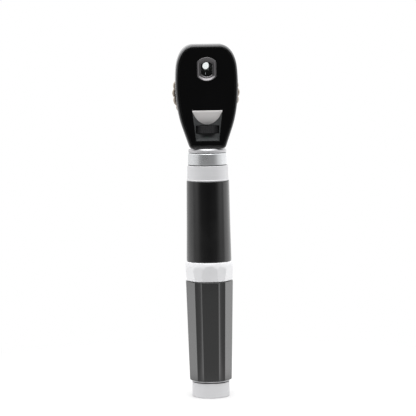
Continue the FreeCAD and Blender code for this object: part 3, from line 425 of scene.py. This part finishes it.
def side_area(nodes, links, place):
    """1 on the casing's sides and 0 on its front and rear faces."""
    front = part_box("front_shell")[0].y
    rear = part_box("rear_shell")[1].y
    behind = ranged(nodes, links, place["Y"], front + SIDE_START, front + SIDE_END)
    before = ranged(nodes, links, place["Y"], rear - REAR_START, rear - REAR_END, 1.0, 0.0)
    return math_node(nodes, links, "MULTIPLY", behind, before)


def casing(name, *finish):
    """Casing with glossy black front and rear faces, satin dark-grey sides with a highlight painted lighter
    grey towards the top, and a duller finger scoop whose lighter grey is partly painted sheen.
    """
    material = moulded(name, *finish)
    nodes = material.node_tree.nodes
    links = material.node_tree.links
    shader = nodes["Principled BSDF"]
    place = split_coords(nodes, links, "Object")
    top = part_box("front_shell")[1].z
    # painted highlight: the sides' grey turns lighter towards the top
    painted_top_highlight = ranged(nodes, links, place["Z"], top - TOP_HIGHLIGHT_START, top - TOP_HIGHLIGHT_END)
    side_and_top_highlight = blended(nodes, links, painted_top_highlight, SIDE_TONE, TOP_HIGHLIGHT_TONE)
    areas = [(side_area(nodes, links, place), side_and_top_highlight, SIDE_ROUGHNESS),
             (scoop_area(nodes, links, place), SCOOP_TONE_AND_SHEEN, SCOOP_ROUGHNESS)]
    tone = shader.inputs["Base Color"].links[0].from_socket
    rough = shader.inputs["Roughness"].links[0].from_socket
    for area, area_tone, area_roughness in areas:
        tone = blended(nodes, links, area, tone, area_tone)
        rough = mixed(nodes, links, area, rough, area_roughness)
    links.new(tone, shader.inputs["Base Color"])
    links.new(rough, shader.inputs["Roughness"])
    return material


def grey(tone):
    return (tone, tone, tone)


# Dark and light tone, least and most roughness, texture scale, relief and, if not 0.5, specular level.
MOULDED = {
    "black_metal": (grey(0.006), grey(0.012), (0.55, 0.7), 3000.0, 4e-6),
    "black_grip": ((0.0015, 0.0015, 0.0016), (0.003, 0.003, 0.0032), (0.17, 0.22), 6000.0, 1e-6, 0.84),
    "black_tube": ((0.0010, 0.0010, 0.0011), (0.002, 0.002, 0.0021), (0.15, 0.21), 6000.0, 1e-6, 0.66),
    "gloss_panel": ((0.0010, 0.0010, 0.0011), (0.0016, 0.0016, 0.0017), (0.06, 0.12), 900.0, 4e-7, 0.32),
    "black_plastic": (grey(0.006), grey(0.012), (0.4, 0.5), 2500.0, 5e-6),
    "wheel_plastic": ((0.008, 0.008, 0.009), (0.014, 0.014, 0.015), (0.34, 0.44), 2500.0, 5e-6),
    "white_plastic": ((0.72, 0.71, 0.68), (0.80, 0.79, 0.76), (0.35, 0.45), 2500.0, 4e-6),
    "beige_plastic": ((0.36, 0.31, 0.26), (0.46, 0.40, 0.34), (0.55, 0.68), 1800.0, 8e-6),
    "circuit_board": ((0.01, 0.09, 0.035), (0.015, 0.14, 0.05), (0.25, 0.4), 900.0, 6e-6),
    "carbon": (grey(0.01), grey(0.02), (0.5, 0.6), 3000.0, 3e-6),
    "cell_wrap": ((0.02, 0.06, 0.20), (0.03, 0.08, 0.26), (0.15, 0.25), 500.0, 3e-6),
    "rubber": (grey(0.008), grey(0.016), (0.6, 0.75), 1500.0, 8e-6)}
CASING = ((0.0012, 0.0012, 0.0013), (0.002, 0.002, 0.0022), (0.16, 0.22), 1500.0, 2e-6, 0.35)
# Dark and light tone, least and most roughness, relief, scales of the marks and metallic share.
TURNED = {
    "turned_aluminium": ((0.46, 0.46, 0.47), (0.56, 0.56, 0.57), (0.50, 0.58), 2e-6, TURNED_SCALE, 2600.0,
                         0.35),
    "connector_metal": ((0.42, 0.42, 0.43), (0.50, 0.50, 0.51), (0.36, 0.42), 1e-6, TURNED_SCALE,
                        TURNED_ALONG, 0.7),
    "polished_steel": ((0.55, 0.56, 0.57), (0.62, 0.63, 0.64), (0.26, 0.32), 1e-6, TURNED_SCALE, 3500.0,
                       0.85),
    "steel": ((0.50, 0.50, 0.51), (0.62, 0.62, 0.63), (0.22, 0.34), 1e-6, 300.0),
    "brass": ((0.66, 0.50, 0.22), (0.80, 0.63, 0.33), (0.22, 0.36), 1e-6, 60.0)}
# Dark and light tone, least and most roughness, relief and metallic share.
METAL = {
    "ring_aluminium": ((0.53, 0.53, 0.54), (0.61, 0.61, 0.62), (0.36, 0.42), 1e-6, 0.1),
    "silver_trim": ((0.66, 0.64, 0.635), (0.74, 0.72, 0.715), (0.5, 0.6), 2e-6, 0.15),
    "bezel_metal": ((0.12, 0.115, 0.12), (0.15, 0.145, 0.148), (0.20, 0.27), 1e-6, 0.8),
    "mirror": ((0.86, 0.87, 0.88), (0.90, 0.91, 0.92), (0.01, 0.03), 1e-8)}
# Colour, least and most roughness.
CLEAR = {
    "glass": ((0.96, 0.98, 0.98), (0.0, 0.03)),
    "filter_glass": ((0.12, 0.55, 0.30), (0.0, 0.04))}

FINISHES = {}
for make, rows in ((moulded, MOULDED), (casing, {"black_casing": CASING}), (turned, TURNED), (metal, METAL),
                   (clear, CLEAR)):
    for name, row in rows.items():
        FINISHES[name] = make(name, *row)

slot_of = {}
body_of = {}
for row in frame["record"]["subparts"]:
    slot_of[row["node"]] = row["material_slot"]
for body, members in frame["record"]["behaviour"]["bodies"].items():
    for member in members:
        body_of[member] = body
for node, slot in slot_of.items():
    mesh = frame["nodes"][node].data
    mesh.materials.clear()
    mesh.materials.append(FINISHES[slot])

# ---- Tools for the detailed pieces ---------------------------------------------------
TINY = 1e-7                   # lengths below this count as nothing
ARC_STEPS = 5                 # parts of a rounded corner
TURNED_SEGMENTS = 192         # round the upright pieces
LYING_SEGMENTS = 144          # round those that lie along Y
RING_SEGMENTS = 360           # round the faceted control ring
SEGMENTS_PER_PLACE = 20       # round each bump of the dial
WINDOW_STEPS = 24             # along each arc of the window bezel


def rounded(corners):
    """Points of a closed outline whose (radius, height, rounding) corners, in millimetres, turn in arcs."""
    path = []
    count = len(corners)
    for place, (r, z, size) in enumerate(corners):
        here = Vector((r, z))
        if size == 0:
            path.append(here * MM)
            continue
        before = (Vector(corners[place - 1][:2]) - here).normalized()
        after = (Vector(corners[(place + 1) % count][:2]) - here).normalized()
        half = before.angle(after) / 2
        centre = here + (before + after).normalized() * (size / math.sin(half))
        start = here + before * (size / math.tan(half)) - centre
        end = here + after * (size / math.tan(half)) - centre
        for step in range(ARC_STEPS + 1):
            path.append((centre + start.slerp(end, step / ARC_STEPS).normalized() * size) * MM)
    return path


def skin(name, rings):
    """A closed mesh stretched over rings of points, back to the first; a ring of one point is a pole."""
    mesh = bmesh.new()
    loops = [[mesh.verts.new(point) for point in ring] for ring in rings]
    for first, second in zip(loops, loops[1:] + loops[:1]):
        count = max(len(first), len(second))
        for place in range(count):
            following = (place + 1) % count
            corners = [first[place % len(first)], first[following % len(first)],
                       second[following % len(second)], second[place % len(second)]]
            distinct = list(dict.fromkeys(corners))
            if len(distinct) > 2:
                mesh.faces.new(distinct)
    bmesh.ops.recalc_face_normals(mesh, faces=mesh.faces)
    data = bpy.data.meshes.new(name)
    mesh.to_mesh(data)
    mesh.free()
    data.polygons.foreach_set("use_smooth", [True] * len(data.polygons))
    return link_mesh(name, data)


def stand_in(node, rings):
    """A piece that shows instead of the CAD node, on its body and in its finish."""
    piece = skin(node + "_piece", rings)
    piece.data.materials.clear()
    piece.data.materials.append(FINISHES[slot_of[node]])
    weighted = piece.modifiers.new("even_shading", "WEIGHTED_NORMAL")
    weighted.keep_sharp = True
    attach(piece, body_of[node])
    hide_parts(node)


def upright(radius, z, angle):
    """A point round the vertical axis."""
    return Vector((radius * math.cos(angle), radius * math.sin(angle), z))


def lying(radius, y, centre_z, angle):
    """A point round an axis along Y at height centre_z."""
    return Vector((radius * math.sin(angle), y, centre_z + radius * math.cos(angle)))


def full_turn(segments):
    return [2 * math.pi * step / segments for step in range(segments)]


def turned_piece(node, corners):
    """A lathe-turned piece about the vertical axis, from (radius, height, rounding) corners."""
    rings = []
    for point in rounded(corners):
        if point.x < TINY:
            rings.append([Vector((0, 0, point.y))])
        else:
            rings.append([upright(point.x, point.y, angle) for angle in full_turn(TURNED_SEGMENTS)])
    stand_in(node, rings)


def turned_piece_y(node, corners):
    """The same about an axis along Y at the node's middle height, from (radius, depth, rounding) corners."""
    low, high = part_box(node)
    centre_z = (low.z + high.z) / 2
    rings = []
    for point in rounded(corners):
        rings.append([lying(point.x, point.y, centre_z, angle) for angle in full_turn(LYING_SEGMENTS)])
    stand_in(node, rings)


def radius_and_ends(node):
    """Largest radius, foot and top of an upright node, in millimetres."""
    low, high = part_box(node)
    return high.x / MM, low.z / MM, high.z / MM


def soft_min(first, second, width):
    """The smaller of two lengths, with the change-over rounded over the width."""
    overlap = max(width - abs(first - second), 0.0) / width
    return min(first, second) - overlap * overlap * width / 4


def rounded_ends(start, end, edge, steps):
    """(level, inset) pairs that round the edge at the start, and those for the edge at the end."""
    turns = [math.pi / 2 * step / steps for step in range(steps + 1)]
    arc = [(edge * (1 - math.cos(turn)), edge * (1 - math.sin(turn))) for turn in turns]
    first = [(start + along, inset) for along, inset in arc]
    last = [(end - along, inset) for along, inset in reversed(arc)]
    return first, last


def nearest_turn(angle, first, step):
    """Angle from the nearest of the directions first, first + step, first + 2 steps and so on."""
    return (angle - first + step / 2) % step - step / 2


# ---- Handle --------------------------------------------------------------------------
WIDE_HALF = math.radians(20.4)    # half-angle of a wide flat; the hollow flutes share the rest
FLUTE_HALF = math.radians(30) - WIDE_HALF
SIXTH = math.radians(60)
FLAT_FIRST = -math.pi / 2         # one flat faces the patient
FLUTE_FIRST = -math.pi / 3
FLUTE_DEPTH = 0.5
FLUTE_BLEND = 0.22                # width over which the edges between flats and flutes are rounded
CELL_BORE_R = 9.7                 # room for the battery cell
JOURNAL_R = 12.05                 # bore round the battery tube and the ring's journal


def make_end_cap():
    r, foot, top = radius_and_ends("end_cap")
    thread_r = 11.0
    skirt_top = 10.0
    seat_r = 7.2
    seat_z = 3.0
    turned_piece("end_cap", [
        (0, foot, 0), (r, foot, 0.7), (r, skirt_top, 0.35), (thread_r, skirt_top, 0.15), (thread_r, top, 0.4),
        (CELL_BORE_R, top, 0.3), (CELL_BORE_R, skirt_top, 0), (seat_r, skirt_top, 0.2), (seat_r, seat_z, 0.4),
        (0, seat_z, 0)])


def make_battery_tube():
    r, foot, top = radius_and_ends("battery_tube")
    lip_top = 11.6
    wall_r = 12.0
    thread_r = 11.1
    thread_top = 18.0
    journal_seat_r = 11.0
    journal_seat_z = 72.0
    turned_piece("battery_tube", [
        (thread_r, foot, 0), (r, foot, 0.2), (r, lip_top, 0.15), (wall_r, lip_top, 0), (wall_r, top, 0.2),
        (journal_seat_r, top, 0), (journal_seat_r, journal_seat_z, 0), (CELL_BORE_R, journal_seat_z, 0),
        (CELL_BORE_R, thread_top, 0), (thread_r, thread_top, 0)])


def make_upper_tube():
    r, foot, top = radius_and_ends("upper_tube")
    waist_r = 14.8
    waist_z = 118.0
    top_r = 14.45
    bore_r = 12.6
    bore_z = 101.3
    turned_piece("upper_tube", [
        (JOURNAL_R, foot, 0), (r, foot, 0.35), (waist_r, waist_z, 0), (top_r, top, 0.3), (bore_r, top, 0),
        (bore_r, bore_z, 0), (JOURNAL_R, bore_z, 0)])


def make_neck_collar():
    r, foot, top = radius_and_ends("neck_collar")
    bore_r = 11.55
    turned_piece("neck_collar", [
        (bore_r, foot, 0), (r, foot, 0.25), (r - 0.02, foot + 0.7, 0.15), (r - 0.25, foot + 1.0, 0.1),
        (r - 0.4, top, 0.35), (bore_r, top, 0)])


def make_lock_collar():
    r, foot, top = radius_and_ends("lock_collar")
    bore_r = 11.55
    turned_piece("lock_collar", [
        (bore_r, foot, 0), (r, foot, 0.25), (r - 0.25, top - 0.15, 0.6), (bore_r + 0.35, top, 0.1),
        (bore_r, top, 0)])


def make_connector_ring():
    r, foot, top = radius_and_ends("connector_ring")
    bore_r = 7.85
    step_r = 11.6
    step_z = foot + 2.0
    turned_piece("connector_ring", [
        (bore_r, foot, 0), (r, foot, 0.35), (r, step_z, 0.45), (step_r, step_z, 0.1),
        (step_r - 0.3, top, 0.15), (bore_r, top, 0)])


def grip_radius(corner, angle):
    """Radius of the grip's outline in one direction: six flats and six shallow hollow flutes."""
    off_flat = nearest_turn(angle, FLAT_FIRST, SIXTH)
    flat = corner * math.cos(WIDE_HALF) / math.cos(off_flat)
    off_flute = nearest_turn(angle, FLUTE_FIRST, SIXTH)
    half_chord = corner * math.sin(FLUTE_HALF)
    hollow_r = (half_chord ** 2 + FLUTE_DEPTH ** 2) / (2 * FLUTE_DEPTH)
    centre = corner * math.cos(FLUTE_HALF) - FLUTE_DEPTH + hollow_r
    reach = hollow_r ** 2 - (centre * math.sin(off_flute)) ** 2
    if reach <= 0:
        return flat
    flute = centre * math.cos(off_flute) - math.sqrt(reach)
    return soft_min(flat, flute, FLUTE_BLEND)


def grip_angles():
    """Directions close together at the twelve edges and wider apart between them."""
    near_edge = [-1.4, -0.9, -0.55, -0.3, -0.1, 0.1, 0.3, 0.55, 0.9, 1.4]
    wide = math.degrees(WIDE_HALF)
    gap = 60 - 2 * wide
    angles = []
    for side in range(6):
        middle = -90 + 60 * side
        for edge in (-wide, wide):
            angles += [middle + edge + off for off in near_edge]
        angles += [middle + wide * step / 6 for step in range(-5, 6)]
        angles += [middle + wide + gap * step / 10 for step in range(1, 10)]
    return [math.radians(angle) for angle in sorted(set(angles))]


def make_grip_sleeve():
    """Grip that widens upwards, with a chamfered foot and a rounded top edge."""
    r, foot, top = radius_and_ends("grip_sleeve")
    top_corner = r / math.cos(FLUTE_HALF)
    foot_corner = 14.5
    chamfer = 0.35
    chamfer_blend = 0.3
    edge = 0.3
    heights = [(foot + off, 0.0) for off in (0.0, 0.1, 0.4, 0.8, 1.2, 1.8)]
    heights += [(foot + (top - foot) * step / 8, 0.0) for step in range(1, 8)]
    heights += rounded_ends(foot, top, edge, 4)[1]
    angles = grip_angles()
    rings = []
    for z, inset in heights:
        corner = foot_corner + (top_corner - foot_corner) * (z - foot) / (top - foot)
        foot_limit = foot_corner - chamfer + (z - foot)
        ring = []
        for angle in angles:
            radius = soft_min(grip_radius(corner, angle), foot_limit, chamfer_blend) - inset
            ring.append(upright(radius * MM, z * MM, angle))
        rings.append(ring)
    for z in (top, foot):
        rings.append([upright(JOURNAL_R * MM, z * MM, angle) for angle in angles])
    stand_in("grip_sleeve", rings)


def circle_through(first, second, third):
    """Centre and radius of the circle through three (radius, height) points."""
    ax, ay = second[0] - first[0], second[1] - first[1]
    bx, by = third[0] - first[0], third[1] - first[1]
    twist = 2 * (ax * by - ay * bx)
    a2 = ax * ax + ay * ay
    b2 = bx * bx + by * by
    cx = first[0] + (by * a2 - ay * b2) / twist
    cy = first[1] + (ax * b2 - bx * a2) / twist
    return cx, cy, math.hypot(first[0] - cx, first[1] - cy)


def make_control_ring():
    """Barrel-shaped ring, cut by facets that go on from the grip's flats and flutes and lean outwards."""
    foot, top = radius_and_ends("control_ring")[1:]
    foot_r = 15.85
    at_foot = (foot_r, 80.55)
    at_widest = (16.55, 87.3)
    at_top = (15.75, 92.3)
    centre_r, centre_z, barrel_r = circle_through(at_foot, at_widest, at_top)
    levels = 34
    wide_lean = 0.115
    narrow_lean = 0.06
    blend = 0.12
    bore_r = 12.06
    edge = 0.45
    first, last = rounded_ends(foot, top, edge, 4)
    middle = [(foot + edge + (top - foot - 2 * edge) * step / levels, 0.0) for step in range(1, levels)]
    angles = full_turn(RING_SEGMENTS)
    rings = []
    for z, inset in first + middle + last:
        barrel = centre_r + math.sqrt(barrel_r ** 2 - (z - centre_z) ** 2)
        wide = foot_r * math.cos(WIDE_HALF) + wide_lean * (z - foot)
        narrow = foot_r * math.cos(FLUTE_HALF) + narrow_lean * (z - foot)
        ring = []
        for angle in angles:
            on_wide = wide / math.cos(nearest_turn(angle, FLAT_FIRST, SIXTH))
            on_narrow = narrow / math.cos(nearest_turn(angle, FLUTE_FIRST, SIXTH))
            radius = soft_min(soft_min(on_wide, on_narrow, blend), barrel, blend) - inset
            ring.append(upright(radius * MM, z * MM, angle))
        rings.append(ring)
    for z in (top, foot):
        rings.append([upright(bore_r * MM, z * MM, angle) for angle in angles])
    stand_in("control_ring", rings)


# ---- Head ----------------------------------------------------------------------------
DIAL_PLACES = 24
DIAL_BUMP_R = 4.5 * MM
DIAL_BORE_R = 21.25 * MM
DIAL_EDGE = 0.55 * MM
RIM_WIDTH = 0.56                  # flat rim of the window bezel, in millimetres
OPENING_R = 5.05                  # the bezel's opening: radius, and half-width between its flat sides
OPENING_HALF = 3.85
# The bezel's bowl: share of the way from rim to opening, and millimetres below the rim's inner edge.
BOWL = ((0.08, 0.10), (0.2, 0.26), (0.32, 0.42), (0.42, 0.53), (0.52, 0.60), (0.75, 0.68), (0.93, 0.74),
        (0.98, 0.80))
POWERS = ["0", "1", "2", "3", "4", "5", "6", "8", "10", "15", "20", "25", "35"]
NUMERAL_SIZE = 2.5 * MM
INK_THICKNESS = 0.015 * MM
INK_LIFT = 0.02 * MM              # the ink's middle stands this far off the ring
INKS = {"plus": ("black_ink", grey(0.01), grey(0.02), (0.5, 0.6), 3000.0, 1e-6),
        "minus": ("red_ink", (0.50, 0.02, 0.02), (0.60, 0.03, 0.03), (0.5, 0.6), 3000.0, 1e-6)}


def make_dial_rim():
    """Grip rim of the lens dial: a round bump for each of its places, with soft edges."""
    low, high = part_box("dial_rim")
    axis_z = (low.z + high.z) / 2
    centre_r = (high.z - low.z) / 2 - DIAL_BUMP_R
    angles = full_turn(SEGMENTS_PER_PLACE * DIAL_PLACES)
    first, last = rounded_ends(low.y, high.y, DIAL_EDGE, 5)
    rings = []
    for y, inset in first + last:
        ring = []
        for angle in angles:
            off = nearest_turn(angle, 0.0, 2 * math.pi / DIAL_PLACES)
            bump = math.sqrt(DIAL_BUMP_R ** 2 - (centre_r * math.sin(off)) ** 2)
            ring.append(lying(centre_r * math.cos(off) + bump - inset, y, axis_z, angle))
        rings.append(ring)
    for y in (high.y, low.y):
        rings.append([lying(DIAL_BORE_R, y, axis_z, angle) for angle in angles])
    stand_in("dial_rim", rings)


def window_ring(radius, half_width, y, centre_z):
    """Circle with its left and right sides cut flat, as points in one plane."""
    limit = math.asin(min(half_width / radius, 1.0))
    points = []
    for middle in (0.0, math.pi):
        for step in range(WINDOW_STEPS + 1):
            angle = middle + limit * (2 * step / WINDOW_STEPS - 1)
            points.append(lying(radius, y, centre_z, angle))
    return points


def make_window_bezel():
    """Metal ring with a rounded rim and a shallow bowl that falls from the rim to the opening."""
    low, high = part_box("window_bezel")
    centre_z = (low.z + high.z) / 2
    radius = (high.z - low.z) / 2
    inner = radius / MM - OPENING_R
    inner_half = high.x / MM - OPENING_HALF
    seat = 0.7
    barrel = 1.25
    rear = high.y
    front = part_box("front_plate")[0].y
    rim = low.y
    seat_y = front + 1.8 * MM
    # Insets from the outline at the top and at the sides, in millimetres, and depth.
    profile = [(0.0, 0.0, front), (0.0, 0.0, rim + 0.2 * MM), (0.06, 0.06, rim + 0.06 * MM), (0.2, 0.2, rim),
               (0.42, 0.42, rim), (RIM_WIDTH, RIM_WIDTH, rim + 0.05 * MM)]
    for share, drop in BOWL:
        inset = RIM_WIDTH + (inner - RIM_WIDTH) * share
        side = RIM_WIDTH + (inner_half - RIM_WIDTH) * share
        profile.append((inset, side, rim + (0.05 + drop) * MM))
    profile += [(inner, inner_half, rim + 1.0 * MM), (inner, inner_half, seat_y),
                (inner - seat, inner_half - seat, seat_y), (inner - seat, inner_half - seat, rear),
                (barrel, barrel, rear), (barrel, barrel, front)]
    rings = []
    for inset, side, y in profile:
        rings.append(window_ring(radius - inset * MM, high.x - side * MM, y, centre_z))
    stand_in("window_bezel", rings)


def make_eyepiece():
    low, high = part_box("eyepiece_ring")
    y0 = low.y / MM
    y1 = high.y / MM
    bore_r = 2.9
    barrel_r = 4.2
    flange_r = 5.0
    flange_y = y1 - 0.85
    glass_r = 3.4
    turned_piece_y("eyepiece_ring", [
        (bore_r, y0, 0), (barrel_r, y0, 0.1), (barrel_r, flange_y, 0), (flange_r, flange_y, 0.1),
        (flange_r, y1, 0.3), (3.5, y1, 0.25), (3.1, y1 - 1.2, 0.1), (glass_r, y1 - 1.3, 0),
        (glass_r, y0 + 0.5, 0), (bore_r, y0 + 0.5, 0)])


def make_brow_rest():
    """Soft rubber cup: rolled lip, two shallow grooves round its side."""
    low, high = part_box("brow_rest")
    y0 = low.y / MM
    y1 = high.y / MM
    turned_piece_y("brow_rest", [
        (5.1, y0, 0), (9.6, y0, 0.2), (9.95, y0 + 0.8, 0.3), (9.72, y0 + 1.5, 0.1), (9.45, y0 + 1.75, 0.15),
        (9.68, y0 + 2.0, 0.1), (9.6, y0 + 2.5, 0.1), (9.2, y0 + 2.8, 0.15), (9.3, y0 + 3.1, 0.1),
        (8.6, y1 - 0.5, 0.6), (7.4, y1, 0.6), (6.3, y1 - 0.6, 0.6), (5.6, y0 + 2.3, 0.4),
        (5.1, y0 + 1.1, 0.2)])


def numeral(label, place):
    """Mesh of one number, upright behind the readout window when the dial stands at its place."""
    low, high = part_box("number_ring")
    axis_z = (low.z + high.z) / 2
    window_low, window_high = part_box("readout_window")
    text_r = axis_z - (window_low.z + window_high.z) / 2
    text = bpy.data.curves.new("numeral", "FONT")
    text.body = label
    text.size = NUMERAL_SIZE
    text.extrude = INK_THICKNESS
    text.align_x = "CENTER"
    text.align_y = "CENTER"
    source = bpy.data.objects.new("numeral", text)
    letters = bpy.data.meshes.new_from_object(source)
    bpy.data.objects.remove(source)
    to_rear = Matrix(((-1, 0, 0, 0), (0, 0, 1, 0), (0, 1, 0, 0), (0, 0, 0, 1)))
    drop = Matrix.Translation((0, 0, -text_r))
    turn = Matrix.Rotation(2 * math.pi * place / DIAL_PLACES, 4, "Y")
    centre = Matrix.Translation((0, high.y + INK_LIFT, axis_z))
    letters.transform(centre @ turn @ drop @ to_rear)
    return letters


def make_numerals(sign, labels):
    """One piece with the lens powers of one sign, given as {place on the dial: number}."""
    joined = bmesh.new()
    for place, label in labels.items():
        joined.from_mesh(numeral(label, place))
    bmesh.ops.remove_doubles(joined, verts=joined.verts, dist=TINY)
    bmesh.ops.recalc_face_normals(joined, faces=joined.faces)
    data = bpy.data.meshes.new(sign + "_numerals")
    joined.to_mesh(data)
    joined.free()
    data.materials.append(moulded(*INKS[sign]))
    numerals = link_mesh(sign + "_numerals", data)
    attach(numerals, "lens_dial")


make_end_cap()
make_battery_tube()
make_upper_tube()
make_neck_collar()
make_lock_collar()
make_connector_ring()
make_grip_sleeve()
make_control_ring()
make_dial_rim()
make_window_bezel()
make_eyepiece()
make_brow_rest()
make_numerals("plus", dict(enumerate(POWERS)))
make_numerals("minus", {place: POWERS[DIAL_PLACES - place] for place in range(len(POWERS), DIAL_PLACES)})
